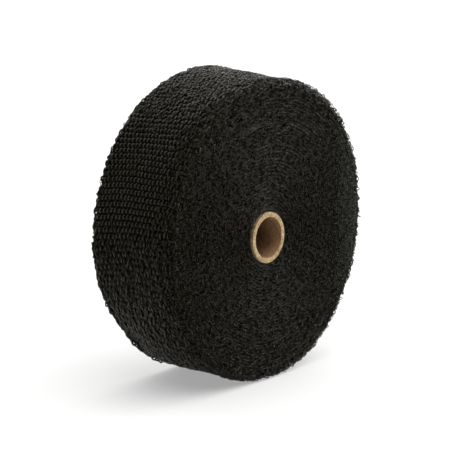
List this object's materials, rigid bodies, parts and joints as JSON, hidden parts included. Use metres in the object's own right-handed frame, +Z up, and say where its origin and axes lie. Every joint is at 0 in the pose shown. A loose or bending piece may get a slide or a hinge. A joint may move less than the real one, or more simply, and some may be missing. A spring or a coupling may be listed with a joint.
{
  "type": "exhaust heat wrap roll",
  "caption": "Roll of black woven glass-fibre exhaust heat wrap, wound on a short cardboard core tube and standing on its tread.",
  "frame": {"origin": "on the floor, under the middle of the roll, which stands on its tread", "axes": "+Z up; the roll's axis runs along Y, and the end that the picture shows faces -Y"},
  "size_m": [0.145, 0.05, 0.1449],
  "materials": {
    "wrap": "black woven glass-fibre tape, matt with a faint yarn sheen",
    "core": "plain brown kraft board, matt"
  },
  "bodies": {
    "root": {"wrap_roll": "wrap", "core_tube": "core"}
  },
  "joints": []
}
